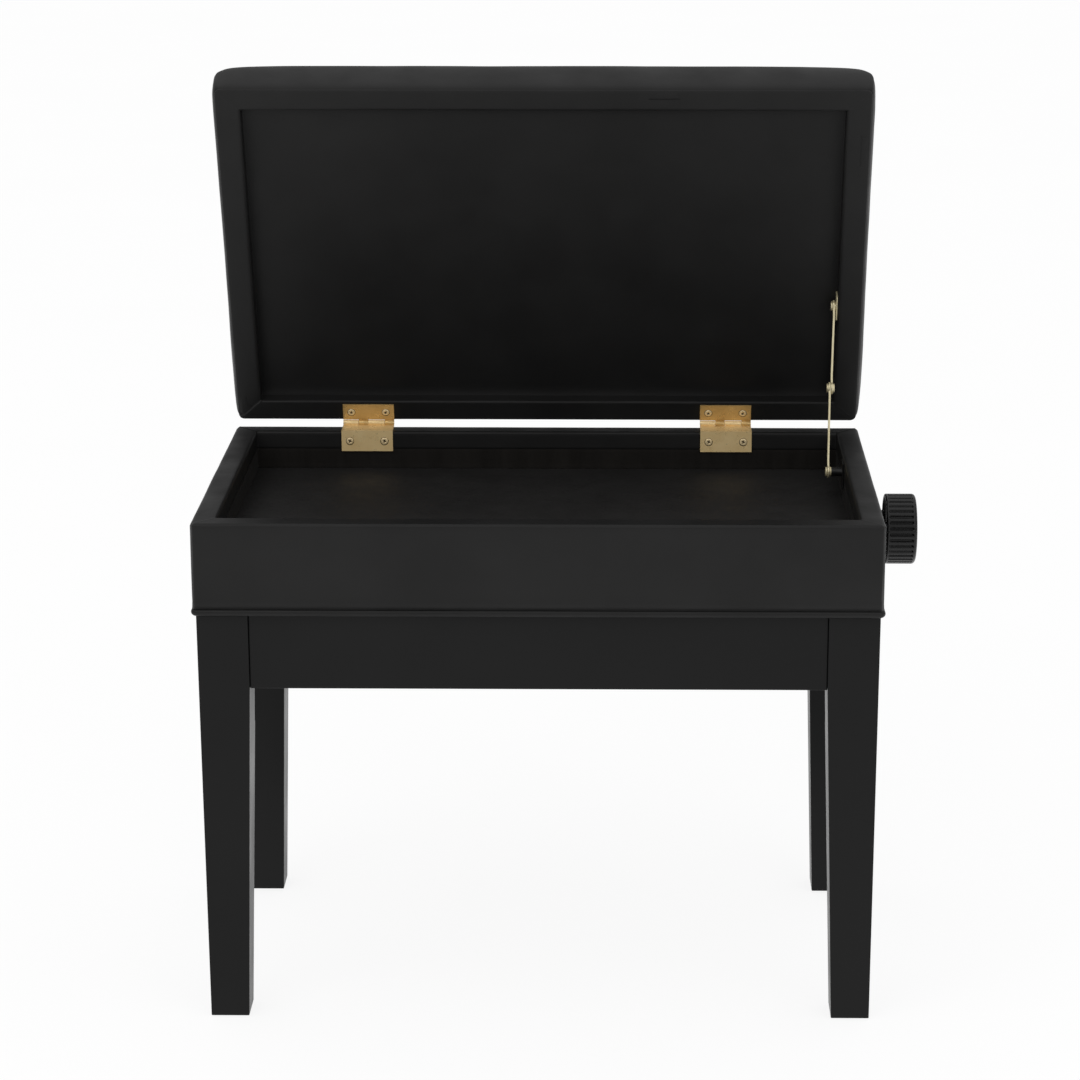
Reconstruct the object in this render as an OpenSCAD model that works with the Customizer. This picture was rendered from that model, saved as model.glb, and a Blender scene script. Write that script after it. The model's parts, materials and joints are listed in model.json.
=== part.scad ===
// Adjustable piano bench with a storage tray under a hinged padded lid.
// The origin is on the floor, under the middle of the seat box; +X is the knob side, -Y the front.

/* [Seat box] */
// Outer width of the seat box
box_w = 560; // [520:1:640]
// Outer depth of the seat box, front to back
box_d = 330; // [310:1:360]
// Height of the covered walls
wall_h = 72; // [70:1:90]
// Thickness of a covered wall
wall_t = 20; // [18:1:24]
// Thickness of the leatherette cover
cover_t = 1.5; // [1:0.1:2]
// Height of the round welt along the lower edge
welt_h = 6; // [4:1:8]
// Depth of the tray below the rim
tray_depth = 34; // [28:1:34]

/* [Base] */
// Height of the base from the floor to the top of the legs
base_top = 354.5; // [340:0.5:400]
// Side of a leg at its top
leg_top = 42; // [40:1:46]
// Side of a leg at the floor
leg_foot = 32; // [26:1:36]
// Height of the aprons
apron_h = 63; // [58:0.5:70]
// Thickness of the aprons
apron_t = 20; // [16:1:22]

/* [Lid] */
// How far the lid swings back from closed to open, in degrees
open_angle = 71.5; // [60:0.5:85]
// Depth of the lid's frame rails
rail_h = 15; // [12:1:18]
// Width of the lid's frame rails
rail_w = 20; // [18:1:24]
// Thickness of the seat foam and its cover over the board
foam_h = 30; // [20:1:36]

/* [Hinges and stay] */
// Radius of a hinge knuckle
knuckle_r = 2.6; // [2.4:0.1:3]
// Width of a hinge
hinge_w = 46; // [40:1:60]
// Distance of each hinge from the middle
hinge_x = 161; // [120:1:180]

/* [Height mechanism] */
// Lift of the seat box
lift = 90; // [60:1:90]
// Length of a scissor arm between its pivots
arm_len = 400; // [380:1:410]
// Radius of the lead screw and of the cross shafts
shaft_r = 5; // [4:0.5:5]
// Outer radius of the knob
knob_r = 30; // [26:1:36]
// Number of grooves around the knob
knob_flutes = 36; // [24:1:40]

/* [Hidden] */
$fn = 48;
leather = "#2b2b2d";
satin_black = "#232324";
cloth_black = "#1a1a1b";
steel = "#8f9499";
brass = "#b08d4f";

pad_t = 1.5;                             // felt between the base and the seat box
box_z = base_top + pad_t;                // underside of the seat box
wall_z = box_z + welt_h;                 // bottom of the covered walls
rim_z = wall_z + wall_h;                 // top of the rim
core_w = box_w - 2 * cover_t;
core_d = box_d - 2 * cover_t;
core_t = wall_t - 2 * cover_t;
tray_w = core_w - 2 * core_t;            // clear width between the bare walls
tray_d = core_d - 2 * core_t;
tray_t = 4;
tray_z = rim_z - tray_depth;             // upper face of the tray floor
inner_cover = 16;                        // how far the cover reaches down inside
lining_t = 1.3;

leg_x = box_w / 2 - 1.8;                 // outer faces of the legs at the top
leg_y = box_d / 2 - 7;
foot_in = 1.2;                           // the outer faces lean in this much
glide_h = 1;
apron_z = base_top - apron_h;
apron_set = 2;                           // the aprons sit back from the legs

pivot_x = -200;                          // fixed ends of both scissor arms
axis_z = rim_z - 48.5;                   // lead screw, and upper ends of the scissor
floor_pivot_z = axis_z - 68;             // lower ends of the scissor
rise = axis_z - floor_pivot_z;
arm_angle = asin(rise / arm_len);
span = arm_len * cos(arm_angle);
span_up = arm_len * cos(asin((rise + lift) / arm_len));
free_x = pivot_x + span;                 // sliding ends at rest
arm_w = 16;
arm_t = 3;
lane_a = 59.5;                           // inner faces of the outer arms
lane_b = 55;                             // inner faces of the inner arms
rail_y = 64;                             // inner faces of the steel rails
rail_t = 3;
base_rail_h = 30;
shaft_end = 69;                          // half length of the cross shafts
run = 0.05;                              // running fit, per side
play = 1.2;                              // play where the arms' arcs part from a straight line

pin_y = box_d / 2 + 1;                   // hinge pin axis
pin_z = rim_z + knuckle_r + 0.2;
pin_r = 1.2;
leaf_t = 1.2;
leaf_h = 18;
lid_gap = knuckle_r + 0.2;               // from the pin axis to the lid's underside
lid_back = 1;                            // from the pin axis to the lid's rear edge
lid_w = box_w - 1;
lid_d = box_d;
board_t = 6;
board_in = 3;                            // the board's edges sit back from the rails'
lid_h = rail_h + board_t + foam_h;
side_rail_w = rail_w + 2;                // the side rails are a little wider
rail_in = lid_w / 2 - side_rail_w;       // inner faces of the side rails
screw_dx = hinge_w / 2 - 7.5;

stay_y = 51;                             // lower pivot of the stay
stay_z = rim_z - 11.5;
stay_u = 118;                            // upper pivot, along the lid from the pin axis
stay_v = 8.3;                            // upper pivot, above the pin axis when closed
stay_x = [247, 249.3, 251.3, 254.4];     // lanes of the four arm ends, from the bottom up
stay_t = 1.6;
stay_r = 2.5;

// ---- Shared shapes ----

// A box given by its lowest and highest corners
module block(low, high) {
    translate(low) cube(high - low);
}

// A round bar along X, Y or Z between two places on that axis
module bar_x(x0, x1, y, z, r) {
    translate([x0, y, z]) rotate([0, 90, 0]) cylinder(h = x1 - x0, r = r);
}

module bar_y(y0, y1, x, z, r) {
    translate([x, y0, z]) rotate([-90, 0, 0]) cylinder(h = y1 - y0, r = r);
}

// A rectangular ring between two levels
module ring(outer_w, outer_d, inner_w, inner_d, z0, z1) {
    difference() {
        block([-outer_w / 2, -outer_d / 2, z0], [outer_w / 2, outer_d / 2, z1]);
        block([-inner_w / 2, -inner_d / 2, z0 - 1], [inner_w / 2, inner_d / 2, z1 + 1]);
    }
}

// A board with mitred ends, lying along X, its outer face at y = 0
module mitred_board(length, t, h) {
    linear_extrude(h)
        polygon([[-length / 2, 0], [length / 2, 0], [length / 2 - t, t], [-length / 2 + t, t]]);
}

// ---- Base ----

// A leg in the front left corner: straight beside the aprons, then tapered inwards
module leg_profile() {
    polygon([
        [0, base_top], [foot_in, glide_h], [foot_in + leg_foot, glide_h],
        [leg_top, apron_z], [leg_top, base_top]
    ]);
}

module leg() {
    color(satin_black)
    translate([-leg_x, -leg_y, 0])
    difference() {
        intersection() {
            translate([0, leg_top, 0]) rotate([90, 0, 0]) linear_extrude(leg_top) leg_profile();
            rotate([90, 0, 90]) linear_extrude(leg_top) leg_profile();
        }
        translate([leg_top, leg_top, apron_z - 40]) rotate([0, 0, 45])
            translate([-leg_chamfer / sqrt(2), -20, 0]) cube([20, 40, base_top]);
    }
}

module leg_front_left() { leg(); }
module leg_front_right() { mirror([1, 0, 0]) leg(); }
module leg_rear_left() { mirror([0, 1, 0]) leg(); }
module leg_rear_right() { mirror([1, 0, 0]) mirror([0, 1, 0]) leg(); }

module apron_front() {
    color(satin_black)
    block([-leg_x + leg_top, -leg_y + apron_set, apron_z],
          [leg_x - leg_top, -leg_y + apron_set + apron_t, base_top]);
}

module apron_rear() { mirror([0, 1, 0]) apron_front(); }

module apron_left() {
    color(satin_black)
    block([-leg_x + apron_set, -leg_y + leg_top, apron_z],
          [-leg_x + apron_set + apron_t, leg_y - leg_top, base_top]);
}

module apron_right() { mirror([1, 0, 0]) apron_left(); }

// Places one of four copies in each corner of the bench
module each_corner() {
    for (sx = [0, 1], sy = [0, 1])
        mirror([sx, 0, 0]) mirror([0, sy, 0]) children();
}

apron_in_x = leg_x - apron_set - apron_t;
apron_in_y = leg_y - apron_set - apron_t;
leg_chamfer = 5;                         // cut off the inner corner of each leg
corner_sum = leg_x + leg_y - 2 * leg_top + leg_chamfer;   // x + y along that cut
bracket_z = (apron_z + base_top) / 2;

// A steel plate across the corner, with a flange on each apron
module corner_bracket() {
    t = 2.5;
    flange = 18;
    s = corner_sum - 2;
    difference() {
        translate([0, 0, bracket_z - 18]) linear_extrude(36)
            polygon([
                [-apron_in_x, -(s - apron_in_x)], [-(s - apron_in_y), -apron_in_y],
                [-(s - apron_in_y) + flange, -apron_in_y],
                [-(s - apron_in_y) + flange, -apron_in_y + t],
                [-(s - apron_in_y) + t, -apron_in_y + t],
                [-apron_in_x + t, -(s - apron_in_x) + t],
                [-apron_in_x + t, -(s - apron_in_x) + flange],
                [-apron_in_x, -(s - apron_in_x) + flange]
            ]);
        leg_bolt_axis() cylinder(h = 80, r = 4.2, center = true);
    }
}

// The Z axis of the children runs into the leg along the corner's diagonal
module leg_bolt_axis() {
    d = (corner_sum - leg_x + leg_y) / 2;
    translate([-corner_sum + d, -d, bracket_z])
        rotate([0, 90, 225]) children();
}

module corner_brackets() {
    color(steel) each_corner() corner_bracket();
}

// A hanger bolt in each leg, with its hexagon nut on the bracket
module leg_bolts() {
    color(steel)
    each_corner()
    leg_bolt_axis() {
        translate([0, 0, -14]) cylinder(h = 40, r = 4);
        translate([0, 0, -11.5]) cylinder(h = 6.5, r = 7.5, $fn = 6);
    }
}

module foot_glides() {
    c = foot_in + leg_foot / 2;
    color("#3a3a3a")
    each_corner()
    translate([-leg_x + c, -leg_y + c, 0]) cylinder(h = glide_h, r = 11);
}

// Felt that the seat box comes down on
module rest_pads() {
    color("#303030")
    each_corner()
    translate([-leg_x + leg_top / 2, -leg_y + leg_top / 2, base_top])
        cylinder(h = pad_t - 0.1, r = 9);
}

// A flat slotted steel rail between the side aprons
module base_rail() {
    difference() {
        block([-apron_in_x, -rail_y - rail_t, floor_pivot_z - base_rail_h / 2],
              [apron_in_x, -rail_y, floor_pivot_z + base_rail_h / 2]);
        bar_y(-rail_y - rail_t - 1, -rail_y + 1, pivot_x, floor_pivot_z, shaft_r + run);
        rail_slot(floor_pivot_z);
    }
}

// An angle that holds the end of a base rail to the side apron
module base_rail_clip() {
    low = floor_pivot_z - base_rail_h / 2;
    high = floor_pivot_z + base_rail_h / 2;
    difference() {
        union() {
            block([-apron_in_x, -rail_y, low], [-apron_in_x + 28, -rail_y + rail_t, high]);
            block([-apron_in_x, -rail_y, low], [-apron_in_x + rail_t, -rail_y + 20, high]);
        }
        bar_x(-apron_in_x - 5, -apron_in_x + 5, -rail_y + 12, floor_pivot_z, 2.2);
    }
}

// The slot along which a cross shaft slides
module rail_slot(z) {
    r = shaft_r + play;
    x0 = pivot_x + span_up - 3;
    x1 = free_x + 3;
    for (x = [x0, x1]) bar_y(-rail_y - rail_t - 1, -rail_y + 1, x, z, r);
    block([x0, -rail_y - rail_t - 1, z - r], [x1, -rail_y + 1, z + r]);
}

module base_rail_front() { color(steel) base_rail(); }
module base_rail_rear() { mirror([0, 1, 0]) base_rail_front(); }

module base_rail_clips() { color(steel) each_corner() base_rail_clip(); }

// Pan-head screw along +Z, its head's seat at z = 0
module pan_screw(r, len) {
    translate([0, 0, -len]) cylinder(h = len, r = r);
    difference() {
        cylinder(h = 2, r = 2 * r);
        for (a = [0, 90]) rotate([0, 0, a]) translate([-r, -0.4, 1]) cube([2 * r, 0.8, 2]);
    }
}

module base_rail_screws() {
    color(steel)
    each_corner()
        translate([-apron_in_x + rail_t, -rail_y + 12, floor_pivot_z])
        rotate([0, 90, 0]) pan_screw(2.1, 15);
}

// ---- Scissor ----

// A flat arm in the XZ plane, from its first pivot along +X, between y0 and y0 + arm_t
module arm(y0, first_r, middle_r, last_r) {
    ends = [[0, first_r], [arm_len / 2, middle_r], [arm_len, last_r]];
    difference() {
        union() {
            block([0, y0, -arm_w / 2], [arm_len, y0 + arm_t, arm_w / 2]);
            for (x = [0, arm_len]) bar_y(y0, y0 + arm_t, x, 0, arm_w / 2);
        }
        for (e = ends) bar_y(y0 - 1, y0 + arm_t + 1, e[0], 0, e[1]);
    }
}

module place_a() {
    translate([pivot_x, 0, floor_pivot_z]) rotate([0, -arm_angle, 0]) children();
}

module place_b() {
    translate([pivot_x, 0, axis_z]) rotate([0, arm_angle, 0]) children();
}

module scissor_arm_a_front() {
    color(steel) place_a() arm(-lane_a - arm_t, shaft_r, 4, shaft_r + run);
}

module scissor_arm_a_rear() {
    color(steel) place_a() arm(lane_a, shaft_r, 4, shaft_r + run);
}

module scissor_arm_b_front() {
    color(steel) place_b() arm(-lane_b - arm_t, shaft_r, 4 + play, shaft_r);
}

module scissor_arm_b_rear() {
    color(steel) place_b() arm(lane_b, shaft_r, 4 + play, shaft_r);
}

// A cross shaft with a turned head at each end
module cross_shaft(x, z) {
    bar_y(-shaft_end, shaft_end, x, z, shaft_r);
    for (s = [0, 1]) mirror([0, s, 0]) bar_y(shaft_end - 1.5, shaft_end, x, z, shaft_r + 1.8);
}

module lower_pivot_shaft() { color(steel) cross_shaft(pivot_x, floor_pivot_z); }
module upper_pivot_shaft() { color(steel) cross_shaft(pivot_x, axis_z); }
module sliding_shaft() { color(steel) cross_shaft(free_x, floor_pivot_z); }

// The two rivets where the arms cross
module centre_pins() {
    x = pivot_x + span / 2;
    z = floor_pivot_z + rise / 2;
    color(steel)
    for (s = [0, 1]) mirror([0, s, 0]) {
        bar_y(lane_b - 1, lane_a + arm_t, x, z, 4);
        bar_y(lane_b - 2.2, lane_b - 0.4, x, z, 7);
    }
}

// ---- Lead screw ----

screw_x0 = 141;                          // inner end of the lead screw
bearing_x = 146;                         // inner bearing plate
knob_x = box_w / 2 + 12.5;               // inner face of the knob
knob_l = 26;
nut_l = 20;

// The nut's block, with a trunnion shaft turned on each side
module trunnion_nut() {
    color(brass)
    difference() {
        union() {
            block([free_x - nut_l / 2, -12, axis_z - 8.5], [free_x + nut_l / 2, 12, axis_z + 8.5]);
            cross_shaft(free_x, axis_z);
        }
        bar_x(free_x - nut_l, free_x + nut_l, 0, axis_z, shaft_r + play);
    }
}

// One pitch of thread is a groove around the bar
module lead_screw() {
    pitch = 2;
    turns = floor((free_x + 14 - bearing_x - 6) / pitch);
    color(steel)
    difference() {
        union() {
            bar_x(screw_x0, knob_x + 18, 0, axis_z, shaft_r);
            bar_x(screw_x0 + 1.5, screw_x0 + 4.5, 0, axis_z, shaft_r + 1.5);
        }
        translate([bearing_x + 6, 0, axis_z]) rotate([0, 90, 0]) rotate_extrude()
            for (i = [0:turns - 1]) translate([shaft_r - 0.8, i * pitch])
                polygon([[0, 0.9], [1.6, 0.1], [1.6, 1.9], [0, 1.1]]);
    }
}

// The black collar between the box and the knob
module screw_sleeve() {
    color("#101011")
    difference() {
        bar_x(box_w / 2 + 2.5, knob_x, 0, axis_z, 16);
        bar_x(box_w / 2, knob_x + 1, 0, axis_z, shaft_r);
    }
}

// A fluted knob with rounded edges, bored for the screw
module knob() {
    edge = 3;
    flute_r = 1.4;
    rim = 2.2;                           // plain rim at each end of the grooves
    color("#101011")
    translate([knob_x, 0, axis_z]) rotate([0, 90, 0])
    difference() {
        rotate_extrude($fn = 96) {
            square([knob_r - edge, knob_l]);
            translate([0, 1]) square([knob_r, knob_l - edge - 1]);
            translate([knob_r - edge, knob_l - edge]) circle(edge);
            translate([knob_r - edge, 1]) square([edge - 1, 1]);
            translate([knob_r - 1, 1]) circle(1);
        }
        for (i = [0:knob_flutes - 1]) rotate([0, 0, (i + 0.5) * 360 / knob_flutes])
            translate([knob_r + 0.4, 0, rim])
                cylinder(h = knob_l - edge - 2 * rim + 1, r = flute_r, $fn = 24);
        translate([0, 0, -1]) cylinder(h = 19, r = shaft_r);
        translate([0, 0, knob_l - 1.2]) difference() {
            cylinder(h = 3, r = knob_r - 7);
            cylinder(h = 9, r = knob_r - 9, center = true);
        }
    }
}

// ---- Seat box ----

module wall_x() {
    translate([0, -core_d / 2, wall_z]) mitred_board(core_w, core_t, wall_h - cover_t);
}

module wall_y() {
    translate([core_w / 2, 0, wall_z]) rotate([0, 0, 90]) mitred_board(core_d, core_t, wall_h - cover_t);
}

module box_wall_front() { color("tan") wall_x(); }
module box_wall_rear() { color("tan") mirror([0, 1, 0]) wall_x(); }
module box_wall_left() { color("tan") mirror([1, 0, 0]) wall_y(); }

module box_wall_right() {
    color("tan")
    difference() {
        wall_y();
        bar_x(tray_w / 2 - 5, box_w / 2 + 5, 0, axis_z, 9);
    }
}

// The leatherette: down the outside, over the rim, and a strip down the inside
module box_cover() {
    inner_w = box_w - 2 * wall_t;
    inner_d = box_d - 2 * wall_t;
    color(leather)
    difference() {
        union() {
            ring(box_w, box_d, core_w, core_d, wall_z, rim_z);
            ring(core_w, core_d, inner_w, inner_d, rim_z - cover_t, rim_z);
            ring(tray_w, tray_d, inner_w, inner_d, rim_z - inner_cover, rim_z);
        }
        bar_x(core_w / 2 - 5, box_w / 2 + 5, 0, axis_z, 9);
    }
}

// A frame under the walls, with a round nose that stands a little proud
module box_welt() {
    r = welt_h / 2;
    x = box_w / 2 + 1 - r;
    y = box_d / 2 + 1 - r;
    z = box_z + r;
    color(leather)
    difference() {
        union() {
            block([-x, -y, box_z], [x, y, wall_z]);
            for (s = [-1, 1]) bar_x(-x, x, s * y, z, r);
            for (s = [-1, 1]) bar_y(-y, y, s * x, z, r);
            for (sx = [-1, 1], sy = [-1, 1]) translate([sx * x, sy * y, z]) sphere(r);
        }
        block([-tray_w / 2, -tray_d / 2, 0], [tray_w / 2, tray_d / 2, rim_z]);
    }
}

module tray_floor() {
    color(cloth_black)
    block([-tray_w / 2, -tray_d / 2, tray_z - tray_t], [tray_w / 2, tray_d / 2, tray_z]);
}

module tray_lining() {
    color("#33332f")
    ring(tray_w, tray_d, tray_w - 2 * lining_t, tray_d - 2 * lining_t, tray_z, rim_z - inner_cover);
}

// A slotted steel angle under the tray floor
box_rail_x = 230;
module box_rail() {
    top = tray_z - tray_t;
    difference() {
        union() {
            block([-box_rail_x, -rail_y - rail_t, axis_z - 12], [box_rail_x, -rail_y, top]);
            block([-box_rail_x, -rail_y - 20, top - 2], [box_rail_x, -rail_y, top]);
        }
        bar_y(-rail_y - rail_t - 1, -rail_y + 1, pivot_x, axis_z, shaft_r + run);
        rail_slot(axis_z);
        for (x = [-1, 1]) translate([x * (box_rail_x - 15), -rail_y - 12, top - 5])
            cylinder(h = 9, r = 2.2);
    }
}

module box_rail_front() { color(steel) box_rail(); }
module box_rail_rear() { mirror([0, 1, 0]) box_rail_front(); }

module box_rail_screws() {
    color(steel)
    each_corner()
        translate([-box_rail_x + 15, -rail_y - 12, tray_z - tray_t - 2])
        rotate([180, 0, 0]) pan_screw(2.1, 5.5);
}

// A flanged bush through the right wall
module outer_bearing() {
    color(steel)
    difference() {
        union() {
            bar_x(tray_w / 2, box_w / 2, 0, axis_z, 9);
            bar_x(box_w / 2, box_w / 2 + 2, 0, axis_z, 14);
        }
        bar_x(tray_w / 2 - 5, box_w / 2 + 5, 0, axis_z, shaft_r + run);
    }
}

// A bracket under the tray floor that carries the screw's inner end
module inner_bearing() {
    top = tray_z - tray_t;
    color(steel)
    difference() {
        union() {
            block([bearing_x, -20, axis_z - 12], [bearing_x + 3, 20, top]);
            block([bearing_x - 22, -20, top - 2], [bearing_x, 20, top]);
        }
        bar_x(bearing_x - 5, bearing_x + 5, 0, axis_z, shaft_r + run);
    }
}

// ---- Hinges ----

// Where the four knuckles meet, as parts of the hinge's width
knuckle_ends = [0, 0.3, 0.49, 0.81, 1];
lower_knuckles = [0, 2];
upper_knuckles = [1, 3];

function knuckle_x(i) = hinge_w * (knuckle_ends[i] - 0.5);

// The chosen knuckles, about the pin
module knuckles(which, bore_r) {
    difference() {
        for (i = which)
            bar_x(knuckle_x(i) + 0.1, knuckle_x(i + 1) - 0.1, 0, 0, knuckle_r);
        bar_x(-hinge_w, hinge_w, 0, 0, bore_r);
    }
}

// The part of a leaf that joins the chosen knuckles
module leaf_fingers(which, y0, y1, z0, z1) {
    difference() {
        for (i = which)
            block([knuckle_x(i) + 0.1, y0, z0], [knuckle_x(i + 1) - 0.1, y1, z1]);
        bar_x(-hinge_w, hinge_w, 0, 0, pin_r + 0.3);
    }
}

// Countersunk screw along +Z, its flat head's top at z = 0
module flat_screw(len) {
    difference() {
        union() {
            translate([0, 0, -len]) cylinder(h = len - 1, r = 1.5);
            translate([0, 0, -1.6]) cylinder(h = 1.6, r1 = 1.5, r2 = 3.3);
        }
        for (a = [0, 90]) rotate([0, 0, a]) translate([-1.9, -0.35, -0.7]) cube([3.8, 0.7, 2]);
    }
}

// The countersunk hole that takes it
module flat_hole() {
    translate([0, 0, -3]) cylinder(h = 4, r = 1.6);
    translate([0, 0, -1.6]) cylinder(h = 1.62, r1 = 1.6, r2 = 3.4);
}

inner_y = box_d / 2 - wall_t;            // inner face of the rear wall
leaf_screw_z = rim_z - 8.8;

// Cranked over the rim and down the inside of the rear wall
module lower_leaf() {
    color(brass)
    translate([0, pin_y, pin_z]) {
        knuckles(lower_knuckles, pin_r);
        leaf_fingers(lower_knuckles, -3, 0, -knuckle_r - 0.2, -knuckle_r + 1);
    }
    color(brass)
    difference() {
        union() {
            block([-hinge_w / 2, inner_y - leaf_t, rim_z], [hinge_w / 2, pin_y - 2.3, rim_z + leaf_t]);
            block([-hinge_w / 2, inner_y - leaf_t, rim_z - leaf_h], [hinge_w / 2, inner_y, rim_z + leaf_t]);
        }
        for (s = [-1, 1]) translate([s * screw_dx, inner_y - leaf_t, leaf_screw_z])
            rotate([90, 0, 0]) flat_hole();
    }
}

module lower_hinge_leaf_left() { translate([-hinge_x, 0, 0]) lower_leaf(); }
module lower_hinge_leaf_right() { translate([hinge_x, 0, 0]) lower_leaf(); }

module hinge_pins() {
    color(brass)
    for (s = [-1, 1])
        bar_x(s * hinge_x - hinge_w / 2, s * hinge_x + hinge_w / 2, pin_y, pin_z, pin_r);
}

module lower_hinge_screws() {
    color(brass)
    for (h = [-1, 1], s = [-1, 1])
        translate([h * hinge_x + s * screw_dx, inner_y - leaf_t, leaf_screw_z])
        rotate([90, 0, 0]) flat_screw(11);
}

// ---- Lid, drawn closed about its hinge pin and then swung open ----

module open_lid() {
    translate([0, pin_y, pin_z]) rotate([-open_angle, 0, 0]) children();
}

// A frame rail along X, its outer face at y = 0; cut is how far its mitres run in
module frame_rail(length, width, cut) {
    linear_extrude(rail_h)
        polygon([
            [-length / 2, 0], [length / 2, 0],
            [length / 2 - cut, width], [-length / 2 + cut, width]
        ]);
}

module lid_rail_side() {
    translate([lid_w / 2, -lid_back - lid_d / 2, lid_gap]) rotate([0, 0, 90])
        frame_rail(lid_d, side_rail_w, rail_w);
}

module lid_rail_long() {
    translate([0, 0, lid_gap]) frame_rail(lid_w, rail_w, side_rail_w);
}

module lid_rail_front() {
    color("tan") open_lid() translate([0, -lid_back - lid_d, 0]) lid_rail_long();
}

module lid_rail_rear() {
    color("tan") open_lid() translate([0, -lid_back, 0]) mirror([0, 1, 0]) lid_rail_long();
}

module lid_rail_right() { color("tan") open_lid() lid_rail_side(); }
module lid_rail_left() { color("tan") open_lid() mirror([1, 0, 0]) lid_rail_side(); }

module lid_slab(margin, z0, z1) {
    block([-lid_w / 2 + margin, -lid_back - lid_d + margin, z0],
          [lid_w / 2 - margin, -lid_back - margin, z1]);
}

module lid_board() {
    color("tan") open_lid() lid_slab(board_in, lid_gap + rail_h, lid_gap + rail_h + board_t);
}

// Black cloth across the underside, between the rails
module lid_lining() {
    t = 1;
    color(cloth_black)
    open_lid()
    block([-rail_in, -lid_back - lid_d + rail_w, lid_gap + rail_h - t],
          [rail_in, -lid_back - rail_w, lid_gap + rail_h]);
}

// Foam and cover: upright sides, rounded shoulders and a low crown
module seat_cushion() {
    base = lid_gap + rail_h + board_t;
    corner = 12;
    color(leather)
    open_lid()
    hull() {
        for (sx = [-1, 1], y = [-lid_back - lid_d + corner, -lid_back - corner]) {
            translate([sx * (lid_w / 2 - corner), y, base]) cylinder(h = foam_h - 14, r = corner, $fn = 32);
            translate([sx * (lid_w / 2 - corner), y, base + foam_h - 12]) sphere(r = corner, $fn = 32);
        }
        translate([-lid_w / 2 + 90, -lid_back - lid_d / 2 - 70, base]) cube([lid_w - 180, 140, foam_h + 5]);
    }
}

module upper_leaf() {
    color(brass)
    open_lid() {
        knuckles(upper_knuckles, pin_r + run);
        leaf_fingers(upper_knuckles, -3.2, 0, lid_gap - leaf_t, lid_gap);
        difference() {
            block([-hinge_w / 2, -leaf_h, lid_gap - leaf_t], [hinge_w / 2, -2.3, lid_gap]);
            for (s = [-1, 1]) translate([s * screw_dx, -10, lid_gap - leaf_t])
                rotate([180, 0, 0]) flat_hole();
        }
    }
}

module upper_hinge_leaf_left() { translate([-hinge_x, 0, 0]) upper_leaf(); }
module upper_hinge_leaf_right() { translate([hinge_x, 0, 0]) upper_leaf(); }

module upper_hinge_screws() {
    color(brass)
    open_lid()
    for (h = [-1, 1], s = [-1, 1])
        translate([h * hinge_x + s * screw_dx, -10, lid_gap - leaf_t])
        rotate([180, 0, 0]) flat_screw(11);
}

// ---- Folding stay on the right ----

// A plate on the tray's side wall, with the stud that carries the lower arm
module lower_stay_bracket() {
    x = box_w / 2 - wall_t;
    color(brass)
    union() {
        block([x - 1.2, stay_y - 9, stay_z - 13], [x, stay_y + 9, stay_z + 9]);
        bar_x(stay_x[0] - stay_t / 2 - 1.6, x, stay_y, stay_z, stay_r);
        bar_x(stay_x[0] - stay_t / 2 - 1.7, stay_x[0] - stay_t / 2 - 0.2, stay_y, stay_z, 4);
        bar_x(stay_x[0] + stay_t / 2 + 0.3, x, stay_y, stay_z, 4);
    }
}

// The same on the lid's right rail
module upper_stay_bracket() {
    x = rail_in;
    color(brass)
    open_lid()
    union() {
        block([x - 1.2, -stay_u - 12, lid_gap + 1], [x, -stay_u + 12, lid_gap + 11]);
        bar_x(stay_x[3] - stay_t / 2 - 1.6, x, -stay_u, stay_v, stay_r);
        bar_x(stay_x[3] - stay_t / 2 - 1.7, stay_x[3] - stay_t / 2 - 0.2, -stay_u, stay_v, 4);
        bar_x(stay_x[3] + stay_t / 2 + 0.3, x, -stay_u, stay_v, 4);
    }
}

// Upper pivot of the stay in the open lid, as [y, z]
stay_top = [
    pin_y - stay_u * cos(open_angle) + stay_v * sin(open_angle),
    pin_z + stay_u * sin(open_angle) + stay_v * cos(open_angle)
];
stay_dir = stay_top - [stay_y, stay_z];
stay_angle = atan2(stay_dir[1], stay_dir[0]);
stay_len = norm(stay_dir) / 2;

// A joggled flat arm along +Y, from an eye at x0 to an eye at x1, with a rivet half on one side
module stay_arm(x0, x1, first_r, last_r) {
    t = stay_t / 2;
    flat = 9;
    difference() {
        union() {
            translate([0, 0, -3.5]) linear_extrude(7)
                polygon([
                    [x0 - t, 0], [x0 + t, 0], [x0 + t, flat], [x1 + t, stay_len - flat],
                    [x1 + t, stay_len], [x1 - t, stay_len], [x1 - t, stay_len - flat], [x0 - t, flat]
                ]);
            bar_x(x0 - t, x0 + t, 0, 0, 5.2);
            bar_x(x1 - t, x1 + t, stay_len, 0, 5.2);
        }
        bar_x(x0 - 3, x0 + 3, 0, 0, first_r);
        bar_x(x1 - 3, x1 + 3, stay_len, 0, last_r);
    }
}

module place_stay(y, z) {
    translate([0, y, z]) rotate([stay_angle, 0, 0]) children();
}

// The rivet at the knee is split between the two arms, face to face
module lower_stay_arm() {
    t = stay_t / 2;
    color(brass)
    place_stay(stay_y, stay_z) {
        stay_arm(stay_x[0], stay_x[1], stay_r + run, 2);
        bar_x(stay_x[1] - t, stay_x[1] + t + 0.1, stay_len, 0, 2.2);
        bar_x(stay_x[1] - t - 1.5, stay_x[1] - t, stay_len, 0, 3.8);
    }
}

module upper_stay_arm() {
    t = stay_t / 2;
    color(brass)
    place_stay((stay_y + stay_top[0]) / 2, (stay_z + stay_top[1]) / 2) {
        stay_arm(stay_x[2], stay_x[3], 2, stay_r + run);
        bar_x(stay_x[2] - t - 0.1, stay_x[2] + t, 0, 0, 2.2);
        bar_x(stay_x[2] + t, stay_x[2] + t + 1.5, 0, 0, 3.8);
    }
}

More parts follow.
